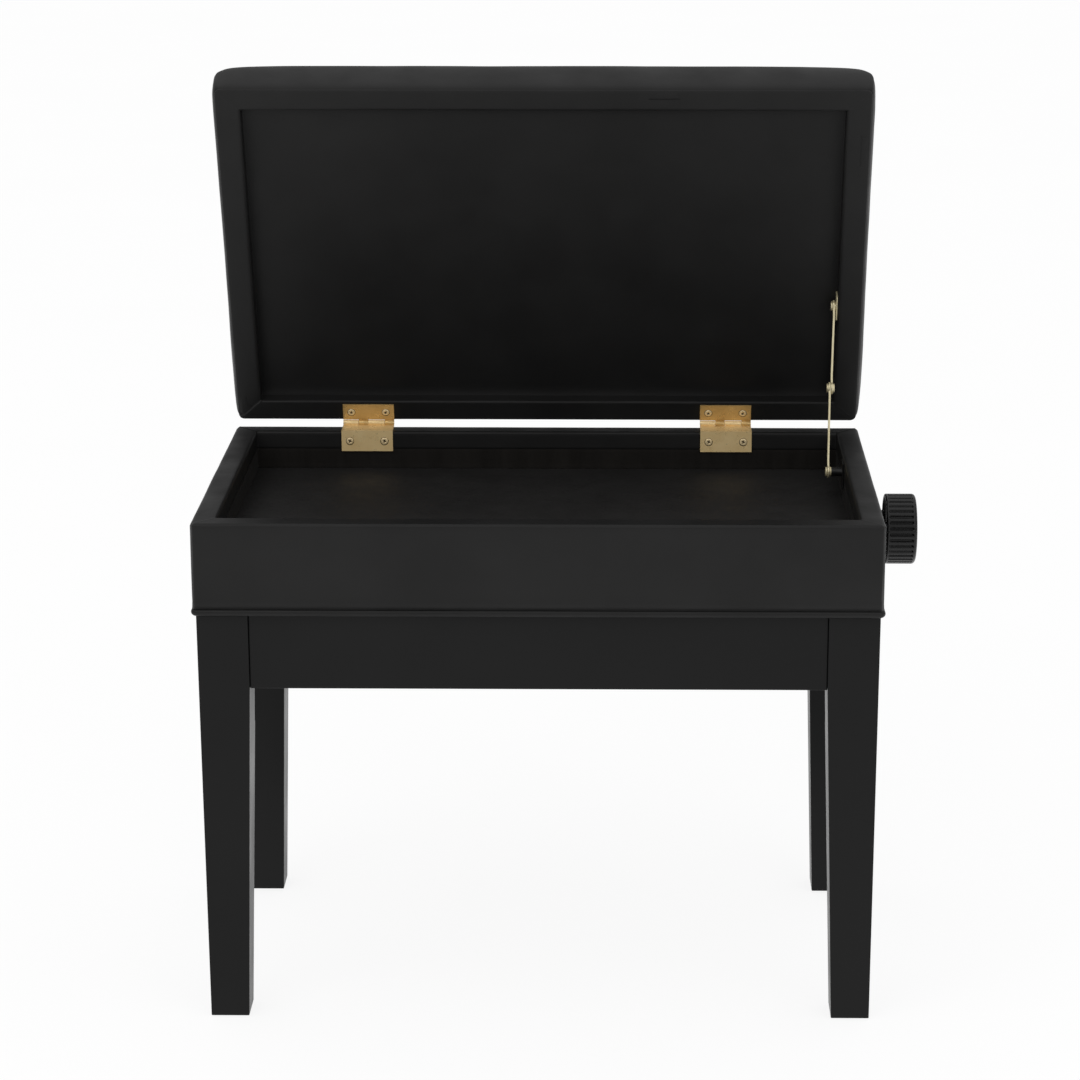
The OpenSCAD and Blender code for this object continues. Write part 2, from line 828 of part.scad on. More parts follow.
leg_front_left();
leg_front_right();
leg_rear_left();
leg_rear_right();
apron_front();
apron_rear();
apron_left();
apron_right();
corner_brackets();
leg_bolts();
foot_glides();
rest_pads();
base_rail_front();
base_rail_rear();
base_rail_clips();
base_rail_screws();
scissor_arm_a_front();
scissor_arm_a_rear();
lower_pivot_shaft();
centre_pins();
scissor_arm_b_front();
scissor_arm_b_rear();
upper_pivot_shaft();
sliding_shaft();
trunnion_nut();
lead_screw();
screw_sleeve();
knob();
box_wall_front();
box_wall_rear();
box_wall_left();
box_wall_right();
box_cover();
box_welt();
tray_floor();
tray_lining();
box_rail_front();
box_rail_rear();
box_rail_screws();
outer_bearing();
inner_bearing();
lower_hinge_leaf_left();
lower_hinge_leaf_right();
hinge_pins();
lower_hinge_screws();
lower_stay_bracket();
lid_rail_front();
lid_rail_rear();
lid_rail_left();
lid_rail_right();
lid_board();
lid_lining();
seat_cushion();
upper_hinge_leaf_left();
upper_hinge_leaf_right();
upper_hinge_screws();
upper_stay_bracket();
lower_stay_arm();
upper_stay_arm();
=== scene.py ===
import json
import math

import bpy
from mathutils import Matrix, Vector, noise
from mathutils.bvhtree import BVHTree


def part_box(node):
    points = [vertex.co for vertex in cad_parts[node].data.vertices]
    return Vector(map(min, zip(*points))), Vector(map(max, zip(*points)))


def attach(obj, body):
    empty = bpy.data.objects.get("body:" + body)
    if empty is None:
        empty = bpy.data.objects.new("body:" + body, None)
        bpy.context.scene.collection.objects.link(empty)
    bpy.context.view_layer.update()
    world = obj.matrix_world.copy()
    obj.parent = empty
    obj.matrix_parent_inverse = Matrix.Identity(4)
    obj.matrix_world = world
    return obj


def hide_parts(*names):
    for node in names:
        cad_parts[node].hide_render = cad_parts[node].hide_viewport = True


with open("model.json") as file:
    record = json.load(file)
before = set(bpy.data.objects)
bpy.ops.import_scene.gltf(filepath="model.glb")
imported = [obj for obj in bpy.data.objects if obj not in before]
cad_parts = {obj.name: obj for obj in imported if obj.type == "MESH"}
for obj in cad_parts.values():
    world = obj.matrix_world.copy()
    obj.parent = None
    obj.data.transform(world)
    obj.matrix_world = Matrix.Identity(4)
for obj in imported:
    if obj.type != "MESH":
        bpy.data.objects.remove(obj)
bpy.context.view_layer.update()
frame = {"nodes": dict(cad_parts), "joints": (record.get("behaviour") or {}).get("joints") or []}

MM = 0.001
nodes = frame["nodes"]
joints = {j["name"]: j for j in frame["joints"]}

# ---- Camera --------------------------------------------------------------------------------

# Fitted to the corners of the box, the lid and the feet; the photograph needs the shift
CAMERA_PLACE = (0.06725, -2.60732, 1.11677)
CAMERA_LENS, CAMERA_SHIFT = 105.32, -0.0429
CAMERA_TILT, CAMERA_TURN = math.radians(15.89), math.radians(-0.655)

camera_data = bpy.data.cameras.new("camera")
camera_data.sensor_width = 36
camera_data.lens = CAMERA_LENS
camera_data.shift_x = CAMERA_SHIFT
camera_data.dof.use_dof = False
camera = bpy.data.objects.new("camera", camera_data)
bpy.context.scene.collection.objects.link(camera)
camera.location = CAMERA_PLACE
aim = Vector((
    math.sin(CAMERA_TURN) * math.cos(CAMERA_TILT),
    math.cos(CAMERA_TURN) * math.cos(CAMERA_TILT),
    -math.sin(CAMERA_TILT),
))
camera.rotation_euler = aim.to_track_quat("-Z", "Y").to_euler()
bpy.context.scene.camera = camera
bpy.context.scene.view_settings.view_transform = "Standard"


# ---- Material helpers --------------------------------------------------------------------


class Shader:
    """A node material around one Principled shader, with textures in object coordinates."""

    def __init__(self, name, metallic=0.0, specular=0.5, sheen=0.0):
        self.material = bpy.data.materials.new(name)
        self.material.use_nodes = True
        self.tree = self.material.node_tree
        self.tree.nodes.clear()
        output = self.add("OutputMaterial")
        self.bsdf = self.add("BsdfPrincipled")
        self.link(self.bsdf.outputs["BSDF"], output.inputs["Surface"])
        self.bsdf.inputs["Metallic"].default_value = metallic
        self.bsdf.inputs["Specular IOR Level"].default_value = specular
        self.bsdf.inputs["Sheen Weight"].default_value = sheen
        self.place = self.add("TexCoord").outputs["Object"]
        self.ramp = None
        self.normal = None

    def add(self, kind, **settings):
        made = self.tree.nodes.new("ShaderNode" + kind)
        for key, value in settings.items():
            setattr(made, key, value)
        return made

    def link(self, source, target):
        self.tree.links.new(source, target)

    def mapped(self, scale=(1, 1, 1), rotation=(0, 0, 0)):
        made = self.add("Mapping")
        made.inputs["Scale"].default_value = scale
        made.inputs["Rotation"].default_value = rotation
        self.link(self.place, made.inputs["Vector"])
        return made.outputs["Vector"]

    def noise(self, scale, detail=3.0, roughness=0.5, stretch=(1, 1, 1), rotation=(0, 0, 0)):
        made = self.add("TexNoise")
        made.inputs["Scale"].default_value = scale
        made.inputs["Detail"].default_value = detail
        made.inputs["Roughness"].default_value = roughness
        self.link(self.mapped(stretch, rotation), made.inputs["Vector"])
        return made.outputs["Fac"]

    def cells(self, scale, feature="DISTANCE_TO_EDGE"):
        made = self.add("TexVoronoi", feature=feature)
        made.inputs["Scale"].default_value = scale
        self.link(self.mapped(), made.inputs["Vector"])
        return made.outputs["Distance"]

    def waves(self, scale, direction, rotation=(0, 0, 0), distortion=0.0):
        made = self.add("TexWave", bands_direction=direction)
        made.inputs["Scale"].default_value = scale
        made.inputs["Distortion"].default_value = distortion
        self.link(self.mapped(rotation=rotation), made.inputs["Vector"])
        return made.outputs["Fac"]

    def span(self, value, low, high, to_low, to_high):
        """Carries low..high over to to_low..to_high, clamped at both ends."""
        made = self.add("MapRange")
        made.inputs["From Min"].default_value = low
        made.inputs["From Max"].default_value = high
        made.inputs["To Min"].default_value = to_low
        made.inputs["To Max"].default_value = to_high
        self.link(value, made.inputs["Value"])
        return made.outputs["Result"]

    def axes(self):
        """The object coordinates one by one, under X, Y and Z."""
        made = self.add("SeparateXYZ")
        self.link(self.place, made.inputs[0])
        return made.outputs

    def maths(self, operation, *values):
        made = self.add("Math", operation=operation)
        for value, target in zip(values, made.inputs):
            self.link(value, target)
        return made.outputs["Value"]

    def colour(self, value, low, high, dark, light):
        """The base colour runs from dark to light as value runs from low to high."""
        made = self.add("ValToRGB")
        self.ramp = made.color_ramp
        first, last = self.ramp.elements
        first.position, first.color = low, (*dark, 1)
        last.position, last.color = high, (*light, 1)
        self.link(value, made.inputs["Fac"])
        self.link(made.outputs["Color"], self.bsdf.inputs["Base Color"])

    def rough(self, value, to_low, to_high):
        """The roughness over the middle range of a noise texture."""
        self.link(self.span(value, 0.3, 0.7, to_low, to_high), self.bsdf.inputs["Roughness"])

    def bump(self, height, strength, distance):
        """One more layer of relief over those already there."""
        made = self.add("Bump")
        made.inputs["Strength"].default_value = strength
        made.inputs["Distance"].default_value = distance
        self.link(height, made.inputs["Height"])
        if self.normal is not None:
            self.link(self.normal, made.inputs["Normal"])
        self.normal = made.outputs["Normal"]
        self.link(self.normal, self.bsdf.inputs["Normal"])


def grey(level, warm=0.0):
    """A linear grey, with a share more red and less blue."""
    return (level * (1 + warm), level, level * (1 - warm))


def leatherette(name, mitre=None):
    """Black leatherette: pebble grain, broad soft creases and an uneven sheen.

    mitre, if given, is |x| + y in metres along the folds at the two front corners,
    where a painted highlight lightens the base colour along the edge of the fold.
    """
    s = Shader(name, specular=0.2)
    tone = s.noise(9, 4)
    # painted highlight along the front corners' folds: its width, its share of the ramp and its
    # lighter colour
    highlight_half_width = (0.0018, 0.0030)              # metres, least and most
    highlight_share, highlight_stop, highlight_colour = 0.38, 0.98, 0.05
    if mitre is not None:
        place = s.axes()
        along = s.maths("ADD", s.maths("ABSOLUTE", place["X"]), place["Y"])
        away = s.maths("ABSOLUTE", s.span(along, mitre - 1, mitre + 1, -1, 1))
        highlight_width = s.span(s.noise(150, 3), 0.3, 0.7, *highlight_half_width)
        near = s.maths("DIVIDE", away, highlight_width)
        tone = s.maths("ADD", tone, s.span(near, 0.4, 1, highlight_share, 0))
    s.colour(tone, 0.35, 0.68, grey(0.0092, 0.01), grey(0.0125, 0.01))
    if mitre is not None:
        # the ramp's extra stop is the painted highlight's colour
        s.ramp.elements.new(highlight_stop).color = (*grey(highlight_colour, 0.01), 1)
    s.rough(s.noise(26, 4), 0.40, 0.54)
    s.bump(s.noise(34, 3), 0.42, 0.0010)
    s.bump(s.cells(820), 0.22, 0.00012)
    s.bump(s.noise(2600, 2), 0.16, 0.00005)
    return s.material


def satin_paint(name, grain):
    """Satin black paint over fine wood grain, which runs along the given axis."""
    stretch = [34.0, 34.0, 34.0]
    stretch[grain] = 2.0
    s = Shader(name, specular=0.14)
    s.colour(s.noise(5, 3), 0.3, 0.7, grey(0.0078), grey(0.0100))
    s.rough(s.noise(18, 4), 0.30, 0.40)
    s.bump(s.noise(9, 5, 0.6, stretch), 0.16, 0.0004)
    s.bump(s.noise(240, 2), 0.10, 0.0001)
    return s.material


def brass(name, dark, light, along=(1, 1, 1), metallic=0.45):
    """Lacquered brass: slight tarnish, and fine lines from rolling."""
    s = Shader(name, metallic=metallic)
    s.colour(s.noise(70, 5, 0.6), 0.3, 0.72, dark, light)
    s.rough(s.noise(160, 4), 0.24, 0.38)
    s.bump(s.noise(60, 3, 0.5, along), 0.07, 0.0001)
    s.bump(s.noise(900, 2), 0.04, 0.00002)
    return s.material


def zinc_steel(name, along=(1, 1, 1)):
    """Zinc-plated steel: mottled plating and drawn lines."""
    s = Shader(name, metallic=1.0)
    s.colour(s.cells(240, "F1"), 0.1, 0.8, (0.30, 0.31, 0.32), (0.46, 0.47, 0.48))
    s.rough(s.noise(90, 4), 0.30, 0.46)
    s.bump(s.noise(50, 4, 0.6, along), 0.16, 0.0001)
    return s.material


def woven(name, dark, light, rotation=(0, 0, 0)):
    """Woven black cloth: crossing threads, slubs along them and a soft nap."""
    s = Shader(name, specular=0.06, sheen=0.02)
    s.colour(s.noise(60, 6, 0.7, (1, 0.16, 0.16), rotation), 0.3, 0.72, dark, light)
    s.rough(s.noise(300, 2), 0.82, 0.95)
    warp = s.waves(260, "X", rotation, 0.6)
    weft = s.waves(260, "Y", rotation, 0.6)
    s.bump(s.maths("MULTIPLY", warp, weft), 0.45, 0.0003)
    s.bump(s.noise(1500, 3), 0.3, 0.0001)
    s.bump(s.noise(22, 2), 0.2, 0.001)
    return s.material


def black_beyond(name, x_from):
    """Brass made near-black beyond x_from, so that only the end with the stay's arm shows brass."""
    s = Shader(name, metallic=0.3, specular=0.3)
    edge = s.maths("ADD", s.axes()["X"], s.span(s.noise(900, 2), 0, 1, -0.0001, 0.0001))
    brass_share = s.span(edge, x_from, x_from + 0.0003, 1, 0)
    s.colour(brass_share, 0.3, 0.7, grey(0.012), (0.70, 0.62, 0.40))
    s.rough(s.noise(200, 3), 0.34, 0.48)
    s.bump(s.noise(700, 2), 0.1, 0.00004)
    return s.material


def bare_wood():
    """Bare light wood, seen only from underneath."""
    s = Shader("bare_wood", specular=0.3)
    figure = s.noise(9, 6, 0.65, (1.2, 14, 14))
    s.colour(figure, 0.3, 0.7, (0.30, 0.19, 0.10), (0.46, 0.32, 0.19))
    s.rough(s.noise(40, 3), 0.55, 0.75)
    s.bump(s.noise(12, 5, 0.6, (2, 30, 30)), 0.25, 0.0003)
    return s.material


def black_board():
    """Black-faced board of the tray floor."""
    s = Shader("tray_board", specular=0.25)
    s.colour(s.noise(14, 5), 0.3, 0.7, grey(0.012, 0.04), grey(0.018, 0.04))
    s.rough(s.noise(50, 4), 0.55, 0.7)
    s.bump(s.noise(420, 3), 0.25, 0.00012)
    return s.material


def gloss_plastic(centre, ridge):
    """Gloss black moulded plastic, with painted shade in its grooves and a painted highlight on its
    ridges.

    centre is on the knob's axis, and ridge is the radius of its ridges, in metres.
    """
    s = Shader("knob_plastic", specular=0.32)
    about = s.add("VectorMath", operation="SUBTRACT")
    about.inputs[1].default_value = centre
    s.link(s.place, about.inputs[0])
    across = s.add("VectorMath", operation="MULTIPLY")
    across.inputs[1].default_value = (0, 1, 1)
    s.link(about.outputs["Vector"], across.inputs[0])
    radius = s.add("VectorMath", operation="LENGTH")
    s.link(across.outputs["Vector"], radius.inputs[0])
    # painted shade and highlight: the base colour darkens towards the groove bottoms and lightens on
    # the ridges
    ridge_lit_groove_shaded = s.span(radius.outputs["Value"], ridge - 0.0011, ridge - 0.0001, 0.15, 0.85)
    flow = s.span(s.noise(120, 3), 0.3, 0.7, -0.15, 0.15)
    s.colour(s.maths("ADD", ridge_lit_groove_shaded, flow), 0.0, 1.0, grey(0.0010), grey(0.0070))
    s.rough(s.noise(220, 5, 0.6), 0.22, 0.32)
    s.bump(s.noise(700, 3), 0.06, 0.00003)
    return s.material


def matte_plastic():
    """Black moulded plastic of the glides under the feet."""
    s = Shader("glide_plastic", specular=0.4)
    s.colour(s.noise(160, 3), 0.3, 0.7, grey(0.022), grey(0.035))
    s.rough(s.noise(300, 3), 0.5, 0.65)
    s.bump(s.noise(900, 2), 0.2, 0.00006)
    return s.material


def felt():
    """Black felt of the pads that the seat box rests on."""
    s = Shader("felt", specular=0.1, sheen=0.4)
    s.colour(s.noise(500, 4), 0.3, 0.7, grey(0.012), grey(0.03))
    s.rough(s.noise(600, 2), 0.9, 1.0)
    s.bump(s.noise(1400, 4), 0.6, 0.0003)
    return s.material


OPEN_ANGLE = math.radians(71.5)         # the lid stands open by this much at rest
STAY_BLACK_FROM = 0.2492                   # x beyond which the stay's lower bracket is near-black

LEATHER = leatherette("leatherette")
PAINT_UPRIGHT = satin_paint("satin_black_upright", 2)
PAINT_LONG = satin_paint("satin_black_long", 0)
PAINT_SHORT = satin_paint("satin_black_short", 1)
BRASS_LEAF = brass("brass_leaf", (0.58, 0.38, 0.14), (0.72, 0.49, 0.20), (1, 1, 9))
# a lighter copy of the leaf brass: painted light on the lower leaves inside the tray
BRASS_LOWER_LIT = brass("brass_lower_leaf_lit", (0.86, 0.62, 0.29), (0.96, 0.73, 0.38), (9, 1, 1), 0.25)
# a lighter copy of the brass: painted highlight on the screw heads
BRASS_SCREW_LIT = brass("brass_screw_lit", (0.90, 0.68, 0.36), (0.98, 0.80, 0.48), metallic=0.3)
# near-black brass: painted shadow round the screw heads and painted shade in their cross recesses
BRASS_PAINTED_SHADE = brass("brass_painted_shade", (0.10, 0.06, 0.02), (0.16, 0.10, 0.04))
BRASS_STAY = brass("brass_stay", (0.62, 0.54, 0.33), (0.78, 0.70, 0.47), (9, 1, 1))
STAY_FOOT = black_beyond("stay_foot", STAY_BLACK_FROM)
STEEL = zinc_steel("steel", (1, 12, 12))
STEEL_ROUND = zinc_steel("steel_round", (12, 1, 12))
TRAY_CLOTH = woven("tray_cloth", grey(0.010, 0.10), grey(0.016, 0.10))
LID_CLOTH = woven(
    "lid_cloth", (0.0096, 0.0096, 0.0080), (0.0140, 0.0140, 0.0116), (OPEN_ANGLE, 0, 0))
WOOD = bare_wood()
BOARD = black_board()
knob_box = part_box("knob")
KNOB = gloss_plastic((knob_box[0] + knob_box[1]) / 2, (knob_box[1].z - knob_box[0].z) / 2)
GLIDE = matte_plastic()
FELT = felt()


# ---- Mesh helpers ------------------------------------------------------------------------


def make(name, vertices, faces, material, smooth=True):
    """A new piece from points and faces, in metres, in the part's frame."""
    mesh = bpy.data.meshes.new(name)
    mesh.from_pydata([tuple(v) for v in vertices], [], faces)
    mesh.validate()
    mesh.update()
    mesh.materials.append(material)
    if smooth:
        mesh.shade_smooth()
    piece = bpy.data.objects.new(name, mesh)
    bpy.context.scene.collection.objects.link(piece)
    return piece


def smoothstep(low, high, value):
    """0 at low and 1 at high, easing at both; low may be the larger."""
    t = min(max((value - low) / (high - low), 0.0), 1.0)
    return t * t * (3 - 2 * t)


def spaced(length, step=8.0, near=(1.2, 3.0, 6.0, 11.0)):
    """Shares along a straight side, close together near its ends."""
    between = length - 2 * near[-1]
    count = max(int(between / step), 1)
    inner = [near[-1] + between / count * i for i in range(1, count)]
    return [d / length for d in [*near, *inner, *(length - n for n in reversed(near))]]


ARC = 10                                # facets in a rounded corner, seen in plan


def rounded_loop(half_x, half_y, radius, shares_x, shares_y):
    """A rounded rectangle about the origin, from its front right corner."""
    corners = [
        (half_x - radius, radius - half_y, -90), (half_x - radius, half_y - radius, 0),
        (radius - half_x, half_y - radius, 90), (radius - half_x, radius - half_y, 180),
    ]
    points = []
    for k, (cx, cy, first) in enumerate(corners):
        for i in range(ARC + 1):
            a = math.radians(first + 90 * i / ARC)
            points.append((cx + radius * math.cos(a), cy + radius * math.sin(a)))
        nx, ny, following = corners[(k + 1) % 4]
        a = math.radians(following)
        start, end = points[-1], (nx + radius * math.cos(a), ny + radius * math.sin(a))
        for f in shares_x if k % 2 else shares_y:
            points.append((start[0] + (end[0] - start[0]) * f, start[1] + (end[1] - start[1]) * f))
    return points


def bands(rows, columns, first=0, closed=False):
    """Quads between successive loops of points; closed joins the last loop to the first."""
    faces = []
    for j in range(rows if closed else rows - 1):
        here, there = first + j * columns, first + (j + 1) % rows * columns
        for i in range(columns):
            n = (i + 1) % columns
            faces.append((here + i, here + n, there + n, there + i))
    return faces


def ring(half, profile, corner, least=1.0, move=None, caps=False):
    """Sweeps a profile round a rectangle; all in millimetres.

    half is (x, y) at no inset, and profile is [(inset_x, inset_y, z)], which closes on
    itself unless caps closes its two ends. corner is the corner radius at no inset, and
    least the smallest that an inset leaves. move(point, row) may shift a point.
    """
    shares_x, shares_y = spaced(2 * (half[0] - corner)), spaced(2 * (half[1] - corner))
    vertices = []
    for row, (inset_x, inset_y, z) in enumerate(profile):
        radius = max(corner - min(inset_x, inset_y), least)
        loop = rounded_loop(half[0] - inset_x, half[1] - inset_y, radius, shares_x, shares_y)
        for x, y in loop:
            point = Vector((x, y, z))
            vertices.append(move(point, row) if move else point)
    size, rows = len(vertices) // len(profile), len(profile)
    faces = bands(rows, size, closed=not caps)
    if caps:
        faces.append(tuple(reversed(range(size))))
        faces.append(tuple(range((rows - 1) * size, rows * size)))
    return vertices, faces


def arc(cx, cz, radius, first, last, count=7):
    """Points (inset, z) of an arc; the angle is 0 towards the outside and 90 upwards."""
    return [
        (cx - radius * math.cos(math.radians(first + (last - first) * i / (count - 1))),
         cz + radius * math.sin(math.radians(first + (last - first) * i / (count - 1))))
        for i in range(count)
    ]


def inner_arc(cx, cz, radius, first, last, count=7):
    """The same arc turned over to face inwards, from its last angle to its first."""
    return [(2 * cx - i, z) for i, z in reversed(arc(cx, cz, radius, first, last, count))]


def line(first, last, step):
    """Points between two (inset, z) points, ends left out."""
    count = max(1, round(math.dist(first, last) / step))
    return [
        (first[0] + (last[0] - first[0]) * i / count, first[1] + (last[1] - first[1]) * i / count)
        for i in range(1, count)
    ]


def metres(shape):
    """From millimetres, as (vertices, faces)."""
    vertices, faces = shape
    return [v * MM for v in vertices], faces


def uneven(point, size, seed):
    """Smooth unevenness between -1 and 1, with bumps about size millimetres across."""
    x, y, z = point.x / size, point.y / size, point.z / size
    return noise.noise(Vector((x + seed, y - seed, z + 2 * seed)))


def fold(s, height, reach):
    """Height across a mitred fold at distance s from it: a ridge, with a lower layer beside it."""
    layer = 0.5 * height * smoothstep(0.3, -0.4, s) * math.exp(min(s, 0) / reach)
    return height * math.exp(-(s / 0.6) ** 2) - layer


def corner_distance(point, half, width):
    """Signed distance from the nearest mitre line of a frame with these widths."""
    across = (abs(point.x) - half[0]) / width[0] - (abs(point.y) - half[1]) / width[1]
    return across * (width[0] + width[1]) / 2 / math.sqrt(2)


def outward(point, half, push, width=(1, 1)):
    """The push as a vector, away from the middle and square to the face that point is on."""
    if (half[0] - abs(point.x)) / width[0] < (half[1] - abs(point.y)) / width[1]:
        return Vector((math.copysign(push, point.x), 0, 0))
    return Vector((0, math.copysign(push, point.y), 0))


# ---- Seat box: leatherette cover, welt and linings ----------------------------------------

cover_low, cover_high = (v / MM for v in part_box("box_cover"))
BOX = (cover_high.x, cover_high.y)
RIM = cover_high.z
WALL = 20.0
HEM_Z = 418.0                           # lower edge of the cover inside the tray
SKIN = 1.5                              # its thickness
# the box's cover carries a painted highlight along the mitred folds at its front corners
BOX_LEATHER_FOLD_HIGHLIGHT = leatherette("box_leatherette_fold_highlight", (BOX[0] - BOX[1]) * MM)

outer_edge, inner_edge = 2.8, 2.2       # how far the cover rounds over the rim
outside = [(0, cover_low.z)] + line((0, cover_low.z), (0, RIM - outer_edge), 6)
over = arc(outer_edge, RIM - outer_edge, outer_edge, 0, 90)
top = line((outer_edge, RIM), (WALL - inner_edge, RIM), 2)
into = inner_arc(WALL - inner_edge, RIM - inner_edge, inner_edge, 0, 90)
inside = line((WALL, RIM - inner_edge), (WALL, HEM_Z), 2.5)
inside += [(WALL, HEM_Z + 0.5), (WALL - 0.4, HEM_Z)]
back = [(WALL - SKIN, HEM_Z), (WALL - SKIN, RIM - SKIN), (SKIN, RIM - SKIN), (SKIN, cover_low.z)]
cover_profile = [(i, i, z) for i, z in outside + over + top + into + inside + back]
COVER_SHOWN = len(cover_profile) - len(back)


def cover_move(point, row):
    """Mitred folds and a slight sag on the rim; waves and a tucked lower edge outside."""
    if row >= COVER_SHOWN:
        return point
    inset = min(BOX[0] - abs(point.x), BOX[1] - abs(point.y))
    out = Vector((0, 0, 0))
    if point.z > RIM - 2:
        s = corner_distance(point, BOX, (WALL, WALL))
        out.z += fold(-s, height=0.35 if point.y < 0 else 0.25, reach=6)
        out.z += 0.12 * uneven(point, 55, 3.1) - 0.2
    elif inset < 4:
        wave = 0.22 * uneven(point, 60, 1.7) + 0.10 * uneven(point, 22, 5.2)
        tuck = -0.5 * smoothstep(cover_low.z + 4, cover_low.z, point.z)
        push = (wave + 0.15) * smoothstep(cover_low.z, cover_low.z + 8, point.z) + tuck
        out = outward(point, BOX, push)
    return point + out


cover = make("box_cover_wrap", *metres(ring(BOX, cover_profile, 4.0, 1.3, cover_move)), BOX_LEATHER_FOLD_HIGHLIGHT)
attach(cover, "seat_box")
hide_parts("box_cover")

welt_low, welt_high = (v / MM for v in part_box("box_welt"))
welt_proud = welt_high.x - BOX[0] + 0.6
welt_r = (welt_high.z - welt_low.z) / 2
nose = arc(welt_r - welt_proud, welt_low.z + welt_r, welt_r, -90, 90, 13)
strip = [(WALL, welt_high.z - 0.2), (WALL, welt_low.z + 0.8), (WALL / 2, welt_low.z + 0.5)]
welt_profile = [(i, i, z) for i, z in nose + strip]


def welt_move(point, row):
    if row >= len(nose):
        return point
    wave = 0.18 * uneven(point, 26, 7.7) + 0.08 * uneven(point, 9, 2.9)
    return point + outward(point, BOX, wave)


welt = make("box_welt_piping", *metres(ring(BOX, welt_profile, 4.5, 1.0, welt_move)), LEATHER)
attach(welt, "seat_box")
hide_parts("box_welt")

lining_low, lining_high = (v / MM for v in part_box("tray_lining"))
LINING = (lining_high.x, lining_high.y)
LINING_T = 1.3
lining_hem = [(0.5, lining_high.z), (LINING_T - 0.3, lining_high.z)]
face_top, face_foot = (LINING_T, lining_high.z - 0.6), (LINING_T, lining_low.z + 0.5)
lining_face = [face_top] + line(face_top, face_foot, 2.5)
lining_back = [
    (LINING_T + 0.6, lining_low.z + 0.2), (LINING_T + 0.5, lining_low.z),
    (0, lining_low.z), (0, lining_high.z - 0.5),
]
lining_profile = [(i, i, z) for i, z in lining_hem + lining_face + lining_back]


def lining_move(point, row):
    if not len(lining_hem) <= row < len(lining_hem) + len(lining_face):
        return point
    return point + outward(point, LINING, 0.25 * uneven(point, 38, 4.4))


lining_shape = metres(ring(LINING, lining_profile, 1.2, 1.2, lining_move))
lining = make("tray_lining_cloth", *lining_shape, TRAY_CLOTH)
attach(lining, "seat_box")
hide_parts("tray_lining")

# ---- Lid: wrapped frame, cushion and dust cover -------------------------------------------
# The lid is shaped closed, in millimetres about its hinge pin, and then swung open.

pin = Vector(joints["lid_hinge"]["pos_m"])
lid_place = Matrix.Translation(pin) @ Matrix.Rotation(-OPEN_ANGLE, 4, "X") @ Matrix.Scale(MM, 4)
GAP = 2.8                               # from the pin to the underside of the closed lid
LID = (279.5, 165.0)
LID_Y = -166.0                          # middle of the lid, front to back
RAIL = (22.0, 20.0)                     # width of the side rails and of the long rails
RAIL_H = 15.0


def in_lid(shape):
    """From millimetres about the middle of the closed lid to its place when open."""
    vertices, faces = shape
    shift = Vector((0, LID_Y, 0))
    return [lid_place @ (v + shift) for v in vertices], faces


def rail_inset(i, z):
    """A profile point inset by i at the sides, and in proportion at the long rails."""
    return (i, i * RAIL[1] / RAIL[0], z)


edge_out, edge_in = 0.8, 2.4            # rounding of its two lower edges
UNDER = 0.8                             # how far its outer faces lie inside the lid's outline
frame_shown = (
    [(UNDER, GAP + 5), (UNDER, GAP + 2)]
    + arc(UNDER + edge_out, GAP + edge_out, edge_out, 0, -90, 5)
    + line((UNDER + edge_out, GAP), (RAIL[0] - edge_in, GAP), 2)
    + inner_arc(RAIL[0] - edge_in, GAP + edge_in, edge_in, 0, -90)
    + line((RAIL[0], GAP + edge_in), (RAIL[0], GAP + RAIL_H - 0.3), 2.5)
)
frame_hidden = [(RAIL[0], GAP + RAIL_H - 0.3), (1.6, GAP + RAIL_H - 0.3)]
frame_profile = [rail_inset(i, z) for i, z in frame_shown + frame_hidden]


def frame_move(point, row):
    """Mitred folds on the underside, strongest at the hinge side's left corner."""
    if row >= len(frame_shown):
        return point
    out = Vector((0, 0, 0))
    inset = min(LID[0] - abs(point.x), LID[1] - abs(point.y))
    if point.z < GAP + 1.5:
        s = corner_distance(point, LID, RAIL)
        height = 0.6 if point.y > 0 > point.x else 0.12
        out.z -= fold(s if point.x * point.y > 0 else -s, height, reach=7)
        out.z += 0.18 + 0.12 * uneven(point, 48, 8.3)
    elif inset > 15:
        wave = 0.22 * uneven(point, 45, 6.1)
        wave += 0.3 * math.exp(-abs(corner_distance(point, LID, RAIL)) / 9)
        out = outward(point, LID, wave, RAIL)
    return point + out


frame_shape = in_lid(ring(LID, frame_profile, 6.0, 1.4, frame_move))
lid_frame = make("lid_frame_wrap", *frame_shape, LEATHER)
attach(lid_frame, "lid")
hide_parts("lid_rail_front", "lid_rail_rear", "lid_rail_left", "lid_rail_right")

# Dust cover of woven cloth across the recess, tucked in behind the frame's inner edge
PANEL = (LID[0] - RAIL[0] + 0.3, LID[1] - RAIL[1] + 0.3)
PANEL_Z = GAP + RAIL_H - 1
PANEL_T = 0.95


def panel_height(x, y):
    """The cloth's lower face: it sags a little, and puckers where it is tucked in."""
    edge = min(PANEL[0] - abs(x), PANEL[1] - abs(y))
    sag = 0.35 * smoothstep(0, 40, edge)
    tuck = 0.5 * smoothstep(5, 0, edge)
    pucker = 0.12 * smoothstep(22, 0, edge) * math.sin((x + y) / 5.5)
    return PANEL_Z + tuck - sag + pucker + 0.14 * uneven(Vector((x, y, 0)), 70, 9.9)


def spread(half, count):
    """Places from -half to half, closer together near both ends."""
    shares = [i / count for i in range(count + 1)]
    return [half * math.sin(math.pi * (f - 0.5)) * 0.35 + half * (2 * f - 1) * 0.65 for f in shares]


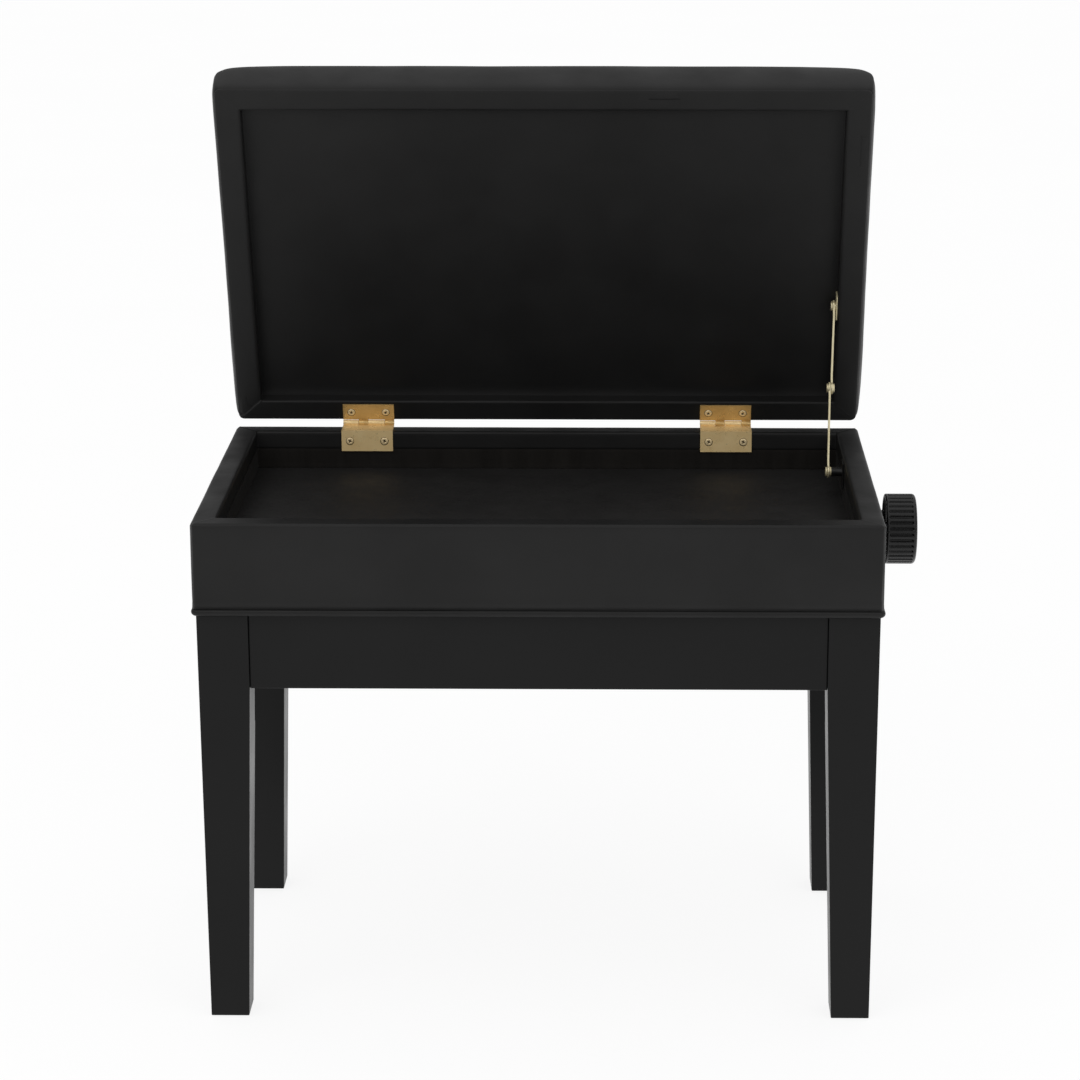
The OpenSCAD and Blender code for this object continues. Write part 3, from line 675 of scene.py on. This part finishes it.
def panel_shape():
    """A grid of cloth with a flat back, joined round the border."""
    across, along = 130, 76
    xs, ys = spread(PANEL[0], across), spread(PANEL[1], along)
    vertices = [Vector((x, y, panel_height(x, y))) for y in ys for x in xs]
    row = across + 1
    faces = []
    for j in range(along):
        for i in range(across):
            here, above = j * row + i, (j + 1) * row + i
            faces.append((here, above, above + 1, here + 1))
    border = list(range(row))
    border += [j * row + across for j in range(1, along + 1)]
    border += [along * row + i for i in reversed(range(across))]
    border += [j * row for j in reversed(range(1, along))]
    base, count = len(vertices), len(border)
    vertices += [Vector((vertices[b].x, vertices[b].y, PANEL_Z + PANEL_T)) for b in border]
    for i in range(count):
        n = (i + 1) % count
        faces.append((border[i], border[n], base + n, base + i))
    faces.append(tuple(base + i for i in range(count)))
    return vertices, faces


dust_cover = make("lid_dust_cover", *in_lid(panel_shape()), LID_CLOTH)
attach(dust_cover, "lid")
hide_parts("lid_lining")

# Cushion: foam and cover over the board, with the cover drawn down over the frame's sides
TOP = 55.8                              # flat top of the foam above the pin
SKIRT_Z = GAP + 0.25                    # lower edge of the cover's sides
SKIRT_T = 14.0                          # how far the foam's sides reach in
START = (LID[0] + 0.2, LID[1] + 0.2)    # outline before the cushion swells
BULGE = 3.4                             # of its sides, before it swells
SHOULDER = 7.0                          # rounding of its upper edge
CROWN = 4.0                             # how much its middle stands up
DIP, DIP_REACH = 9.0, 20.0              # how much its corners drop, and how far in
CROWN_FROM, CROWN_TO = GAP + 22, TOP - 4    # heights between which both of these come in


def bulge(z):
    """How far the cushion's side stands out at height z."""
    return BULGE * math.sin(math.pi * max(z - SKIRT_Z, 0) / (TOP - SKIRT_Z)) ** 0.8


pad_foot, pad_shoulder = (0, SKIRT_Z - 2), (0, TOP - SHOULDER)
pad_wall = [(-bulge(z), z) for _, z in [pad_foot] + line(pad_foot, pad_shoulder, 5)]
pad_wall += arc(SHOULDER, TOP - SHOULDER, SHOULDER, 0, 90, 9)
pad_profile = [(SKIRT_T, SKIRT_T, GAP + 16.2), (SKIRT_T, SKIRT_T, SKIRT_Z - 2)]
pad_profile += [(i, i, z) for i, z in pad_wall] + [(30, 30, TOP)]


def crown(point):
    """How much the cushion stands up over its flat top, and dips at its corners."""
    u, v = min(abs(point.x) / START[0], 1), min(abs(point.y) / START[1], 1)
    corner = math.hypot(START[0] - abs(point.x), START[1] - abs(point.y))
    rise = CROWN * (1 - u ** 4) * (1 - v ** 4) - DIP * math.exp(-corner / DIP_REACH)
    return rise * smoothstep(CROWN_FROM, CROWN_TO, point.z)


def evaluated(piece):
    """A new mesh of the piece as its modifiers leave it."""
    graph = bpy.context.evaluated_depsgraph_get()
    return bpy.data.meshes.new_from_object(piece.evaluated_get(graph))


def swap_mesh(piece, mesh):
    old = piece.data
    piece.modifiers.clear()
    piece.data = mesh
    bpy.data.meshes.remove(old)


def swell(piece, held_below, most):
    """Inflates a padded piece with a short cloth simulation.

    Points below held_below stay put, and none moves out further than most, or in or
    sideways by more than a trace. Lengths are in metres.
    """
    fade, frames = 0.006, 20
    most_in, most_sideways = 0.0003, 0.0012
    rest = [(v.co.copy(), v.normal.copy()) for v in piece.data.vertices]
    group = piece.vertex_groups.new(name="held")
    for v in piece.data.vertices:
        group.add([v.index], 1 - smoothstep(held_below, held_below + fade, v.co.z), "REPLACE")
    cloth = piece.modifiers.new("cloth", "CLOTH")
    settings = cloth.settings
    settings.quality = 5
    settings.mass = 0.3
    settings.tension_stiffness = 12
    settings.compression_stiffness = 12
    settings.shear_stiffness = 5
    settings.bending_stiffness = 0.5
    settings.use_pressure = True
    settings.uniform_pressure_force = 4
    settings.effector_weights.gravity = 0
    settings.vertex_group_mass = group.name
    cloth.point_cache.frame_start, cloth.point_cache.frame_end = 1, frames
    for f in range(1, frames + 1):
        bpy.context.scene.frame_set(f)
    moved = evaluated(piece)
    for v, (start, normal) in zip(moved.vertices, rest):
        shift = v.co - start
        out = shift.dot(normal)
        slide = shift - normal * out
        slide *= min(1, most_sideways / max(slide.length, 1e-9))
        v.co = start + slide + normal * min(max(out, -most_in), most)
    bpy.context.scene.frame_set(1)
    piece.vertex_groups.clear()
    swap_mesh(piece, moved)


def pleats(tree):
    """The cover's fold at each corner: a flap laid round the corner, with a raised edge."""
    rows, columns = 15, 8
    begin, width, lean, tuck = 18, 38, 8, 1.5       # degrees round the corner's axis
    axis_inset, ray_reach = 7, 30
    foot, head = 0.4, 12                            # gaps below and above the flap
    raised, lowest, sunk = 0.5, 0.1, 0.05           # lift at its edge and foot; set in by
    vertices, faces = [], []
    for sx, sy in ((-1, -1), (1, -1), (1, 1), (-1, 1)):
        def towards(degrees):
            a = math.radians(degrees)
            return Vector((sx * math.sin(a), sy * math.cos(a), 0))

        axis = Vector((sx * (START[0] - axis_inset), sy * (START[1] - axis_inset), 0))
        first = len(vertices)
        for j in range(rows):
            z = SKIRT_Z + foot + (TOP - head - SKIRT_Z) * j / (rows - 1)
            for i in range(columns):
                way = towards(begin + (width + lean * j / rows) * i / (columns - 1))
                start = axis + way * ray_reach + Vector((0, 0, z))
                hit = tree.ray_cast(start, -way)[0]
                curve = math.sin(math.pi / 2 * i / (columns - 1)) ** 0.5
                lift = raised * curve if j > 0 else lowest
                lift *= smoothstep(rows - 1, rows - 4, j)
                vertices.append(hit + way * (lift - sunk))
        for j in range(rows - 1):
            here = first + j * columns
            for q in range(here, here + columns - 1):
                faces.append((q, q + 1, q + columns + 1, q + columns))
            edge, inner = here + columns - 1, len(vertices)
            way = towards(begin + width + lean * j / rows + tuck)
            vertices += [vertices[edge] - way, vertices[edge + columns] - way]
            faces.append((edge, inner, inner + 1, edge + columns))
    return vertices, faces


def build_cushion():
    """The padded cover and its corner pleats, each as a piece of the open lid."""
    shape = metres(ring(START, pad_profile, 6.0, 3.0, caps=True))
    piece = make("seat_cushion_cover", *shape, LEATHER)
    remesh = piece.modifiers.new("remesh", "REMESH")
    remesh.mode = "VOXEL"
    remesh.voxel_size = 0.005
    swap_mesh(piece, evaluated(piece))
    for v in piece.data.vertices:
        v.co.z += crown(v.co / MM) * MM
    swell(piece, held_below=(GAP + 8) * MM, most=0.003)
    soften = piece.modifiers.new("soften", "CORRECTIVE_SMOOTH")
    soften.use_only_smooth = True
    soften.iterations = 2
    subdivide = piece.modifiers.new("subdivide", "SUBSURF")
    subdivide.levels = subdivide.render_levels = 1
    swap_mesh(piece, evaluated(piece))
    normals = [v.normal.copy() for v in piece.data.vertices]
    for v, normal in zip(piece.data.vertices, normals):
        p = v.co / MM
        ripple = 0.30 * uneven(p, 85, 12.4) + 0.14 * uneven(p, 30, 3.3)
        p += normal * ripple
        p.z = max(p.z, SKIRT_Z)
        v.co = p
    points = [v.co for v in piece.data.vertices]
    folds = pleats(BVHTree.FromPolygons(points, [f.vertices for f in piece.data.polygons]))
    shift = Vector((0, LID_Y, 0))
    for v in piece.data.vertices:
        v.co = lid_place @ (v.co + shift)
    piece.data.materials.clear()
    piece.data.materials.append(LEATHER)
    piece.data.shade_smooth()
    return piece, make("seat_corner_pleats", *in_lid(folds), LEATHER)


cushion, corner_pleats = build_cushion()
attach(cushion, "lid")
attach(corner_pleats, "lid")
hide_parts("seat_cushion")

# ---- Knob ---------------------------------------------------------------------------------

knob_low, knob_high = (v / MM for v in knob_box)
KNOB_R = (knob_high.z - knob_low.z) / 2
KNOB_L = knob_high.x - knob_low.x
BACK_EDGE, FRONT_EDGE = 1.3, 3.2        # rounding of the knob's two rims
ROW_GAP = 0.45                          # between rows of points along the grooves
FLUTES = 36
PER_FLUTE = 16                          # facets from one groove to the next
GROOVE = 1.7
GROOVE_SHARE = 0.27                     # half a groove's width over the groove spacing


def knob_shape():
    """A grooved knob turned about its axis; grooves fade out before both rims."""
    grip_rows = int((KNOB_L - 4.8) / ROW_GAP)       # its length less both rims
    profile = [(2.2, 8.9), (2.2, 16), (2.2, 23), (2.0, 24.6), (0.5, 26.6), (0.1, 27.4)]
    profile += arc(BACK_EDGE, KNOB_R - BACK_EDGE, BACK_EDGE, 0, 90)
    profile += [(BACK_EDGE + ROW_GAP * i, KNOB_R) for i in range(1, grip_rows)]
    profile += arc(KNOB_L - FRONT_EDGE, KNOB_R - FRONT_EDGE, FRONT_EDGE, 90, 180, 10)
    cap = [(0, 25.5), (0, 24.0), (0, 23.2), (0.35, 22.8), (1.1, 22.6), (1.2, 22.2)]
    cap += [(1.2, 21.4), (1.1, 21.0), (0.3, 20.8), (0.05, 20.3), (0, 18), (0.1, 9), (0.15, 3)]
    profile += [(KNOB_L - depth, r) for depth, r in cap]
    columns = FLUTES * PER_FLUTE
    centre = (knob_low.z + knob_high.z) / 2
    vertices = []
    for x, r in profile:
        window = smoothstep(1.8, 3.2, x) * smoothstep(KNOB_L - 2.8, KNOB_L - 4.4, x)
        for c in range(columns):
            a = 2 * math.pi * c / columns
            away = abs((c / PER_FLUTE) % 1.0 - 0.5) / GROOVE_SHARE
            groove = GROOVE * (math.cos(math.pi / 2 * away) ** 0.7 if away < 1 else 0) * window
            y, down = (r - groove) * math.sin(a), (r - groove) * math.cos(a)
            vertices.append(Vector((knob_low.x + x, y, centre - down)))
    faces = bands(len(profile), columns)
    faces.append(tuple(range(columns)))
    faces.append(tuple(reversed(range(len(vertices) - columns, len(vertices)))))
    return vertices, faces


knob = make("knob_grip", *metres(knob_shape()), KNOB)
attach(knob, "screw")
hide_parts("knob")

# ---- Hinge screws -------------------------------------------------------------------------


# Rings (radius, height) of a screw head from its rim inwards; the first two bands are a
# painted shadow round it, in near-black brass
HEAD = [(3.75, -0.3), (3.7, 0.03), (3.2, 0.05), (3.15, 0.12), (2.95, 0.36), (2.5, 0.52), (1.9, 0.56)]
CROSS_R, CROSS_TAPER = 1.6, 0.35        # reach of the cross recess, and how much it narrows
CROSS_TOP, CROSS_FLOOR = 0.56, -0.75    # heights of its edge and its floor
SCREW_INSET = 7.5                       # from the ends of a leaf
UPPER_SCREW = (-10, GAP - 1.2)          # (y, z) of the upper heads from the pin, lid closed


def screw_heads(name, centres, out, across, node, body):
    """Countersunk brass heads, slightly proud, each with a cross recess; millimetres.

    out and across are unit vectors: along the screw towards its head, and along the hinge.
    """
    columns = 32
    turns = [2 * math.pi * c / columns for c in range(columns)]
    cross = [CROSS_R * (0.42 + 0.58 * abs(math.cos(2 * (a + 0.4))) ** 1.5) for a in turns]
    rings = [([r] * columns, h) for r, h in HEAD]
    rings += [(cross, CROSS_TOP), ([r - CROSS_TAPER for r in cross], CROSS_FLOOR)]
    side = out.cross(across)
    vertices, faces, dark = [], [], []
    for centre in centres:
        first, quads = len(vertices), len(faces)
        for radii, h in rings:
            for a, r in zip(turns, radii):
                way = across * math.cos(a) + side * math.sin(a)
                vertices.append(centre + way * r + out * h)
        faces += bands(len(rings), columns, first)
        # painted shade: the shadow ring and the cross recess's walls and floor take the near-black
        # brass
        for j in (0, 1, len(rings) - 2):
            dark += range(quads + j * columns, quads + (j + 1) * columns)
        dark.append(len(faces))
        faces.append(tuple(range(len(vertices) - columns, len(vertices))))
    piece = make(name, *metres((vertices, faces)), BRASS_SCREW_LIT)
    piece.data.materials.append(BRASS_PAINTED_SHADE)
    for f in dark:
        piece.data.polygons[f].material_index = 1
    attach(piece, body)
    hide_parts(node)


def hinge_screws():
    """Heads on the four leaves, two to each."""
    right = Vector((1, 0, 0))
    low_leaf = [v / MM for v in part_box("lower_hinge_leaf_left")]
    low_screws = [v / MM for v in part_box("lower_hinge_screws")]
    middle = (low_leaf[0].x + low_leaf[1].x) / 2
    apart = (low_leaf[1].x - low_leaf[0].x) / 2 - SCREW_INSET
    xs = [side * middle + step * apart for side in (-1, 1) for step in (-1, 1)]
    height = (low_screws[0].z + low_screws[1].z) / 2
    spots = [Vector((x, low_screws[0].y, height)) for x in xs]
    forwards = Vector((0, -1, 0))
    screw_heads(
        "lower_hinge_screw_heads", spots, forwards, right, "lower_hinge_screws", "seat_box")
    spots = [lid_place @ Vector((x, *UPPER_SCREW)) / MM for x in xs]
    from_lid = lid_place.to_3x3().normalized() @ Vector((0, 0, -1))
    screw_heads("upper_hinge_screw_heads", spots, from_lid, right, "upper_hinge_screws", "lid")


hinge_screws()

# ---- CAD nodes: materials and softened edges ---------------------------------------------


def finish_node(name, material, edge):
    """Gives a CAD node its material and, with modifiers only, edges rounded by so many mm."""
    piece = nodes[name]
    for s in range(len(piece.material_slots)):
        piece.material_slots[s].material = material
    if edge:
        weld = piece.modifiers.new("weld", "WELD")
        weld.merge_threshold = 0.00001
        flat = piece.modifiers.new("flat", "DECIMATE")
        flat.decimate_type = "DISSOLVE"
        flat.angle_limit = math.radians(0.6)
        bevel = piece.modifiers.new("bevel", "BEVEL")
        bevel.width = edge * MM
        bevel.segments = 2
        bevel.limit_method = "ANGLE"
        bevel.angle_limit = math.radians(32)
        bevel.harden_normals = True


# Material, width of the rounded edges in millimetres, and nodes
LOOKS = [
    (PAINT_UPRIGHT, 1.6, ["leg_front_left", "leg_front_right", "leg_rear_left", "leg_rear_right"]),
    (PAINT_LONG, 1.2, ["apron_front", "apron_rear"]),
    (PAINT_SHORT, 1.2, ["apron_left", "apron_right"]),
    (STEEL, 0.4, ["base_rail_front", "base_rail_rear", "base_rail_clips"]),
    (STEEL, 0.4, ["box_rail_front", "box_rail_rear"]),
    (STEEL, 0.4, ["scissor_arm_a_front", "scissor_arm_a_rear"]),
    (STEEL, 0.4, ["scissor_arm_b_front", "scissor_arm_b_rear"]),
    (STEEL, 0.5, ["corner_brackets", "outer_bearing", "inner_bearing"]),
    (STEEL_ROUND, 0.3, ["lower_pivot_shaft", "upper_pivot_shaft", "sliding_shaft"]),
    (STEEL_ROUND, 0.3, ["centre_pins", "leg_bolts"]),
    (STEEL_ROUND, 0.0, ["base_rail_screws", "box_rail_screws", "lead_screw"]),
    (BRASS_LEAF, 0.25, ["upper_hinge_leaf_left", "upper_hinge_leaf_right"]),
    (BRASS_LEAF, 0.25, ["hinge_pins", "trunnion_nut"]),
    (BRASS_LOWER_LIT, 0.25, ["lower_hinge_leaf_left", "lower_hinge_leaf_right"]),
    (BRASS_STAY, 0.3, ["upper_stay_bracket", "lower_stay_arm", "upper_stay_arm"]),
    (STAY_FOOT, 0.3, ["lower_stay_bracket"]),
    (KNOB, 0.8, ["screw_sleeve"]),
    (WOOD, 0.5, ["box_wall_front", "box_wall_rear", "box_wall_left", "box_wall_right"]),
    (WOOD, 0.5, ["lid_board"]),
    (BOARD, 0.0, ["tray_floor"]),
    (GLIDE, 0.6, ["foot_glides"]),
    (FELT, 0.3, ["rest_pads"]),
]
for look, edge, names in LOOKS:
    for n in names:
        finish_node(n, look, edge)

# ---- Floor and light ----------------------------------------------------------------------


def stage_floor():
    """A floor that glows enough to be white like the photograph's background."""
    s = Shader("floor", specular=0.0)
    s.colour(s.noise(3, 2), 0.3, 0.7, grey(0.15), grey(0.155))
    s.rough(s.noise(5, 2), 0.9, 1.0)
    s.bsdf.inputs["Emission Color"].default_value = (1, 1, 1, 1)
    s.bsdf.inputs["Emission Strength"].default_value = 0.872
    size = 40
    corners = [(-size, -size, 0), (size, -size, 0), (size, size, 0), (-size, size, 0)]
    floor = make("floor", corners, [(0, 1, 2, 3)], s.material, False)
    floor.location.z = -0.0002


def soft_light(name, location, target, size, power, colour):
    """A rectangular lamp at location, aimed at target."""
    data = bpy.data.lights.new(name, "AREA")
    data.shape = "RECTANGLE"
    data.size, data.size_y = size
    data.energy = power
    data.color = colour
    lamp = bpy.data.objects.new(name, data)
    bpy.context.scene.collection.objects.link(lamp)
    lamp.location = location
    lamp.rotation_euler = (Vector(target) - Vector(location)).to_track_quat("-Z", "Y").to_euler()


def studio_world():
    """A soft dome: dim near the horizon, bright overhead."""
    world = bpy.data.worlds.new("studio")
    world.use_nodes = True
    bpy.context.scene.world = world
    tree = world.node_tree
    coord = tree.nodes.new("ShaderNodeTexCoord")
    split = tree.nodes.new("ShaderNodeSeparateXYZ")
    ramp = tree.nodes.new("ShaderNodeValToRGB")
    tree.links.new(coord.outputs["Generated"], split.inputs[0])
    tree.links.new(split.outputs["Z"], ramp.inputs["Fac"])
    tree.links.new(ramp.outputs["Color"], tree.nodes["Background"].inputs["Color"])
    stops = ramp.color_ramp.elements
    stops[0].position, stops[0].color = 0.0, (0.42, 0.42, 0.425, 1)
    stops[1].position, stops[1].color = 1.0, (1.10, 1.10, 1.11, 1)
    for place, level in ((0.30, 0.42), (0.62, 0.62)):
        stops.new(place).color = (level, level, level, 1)


stage_floor()
studio_world()
soft_light("key", (-1.2, -1.9, 2.2), (0, 0, 0.4), (1.8, 1.4), 11, (1.0, 0.99, 0.97))
soft_light("fill", (1.6, -2.0, 1.7), (0, 0, 0.4), (1.6, 1.6), 7, (0.97, 0.98, 1.0))
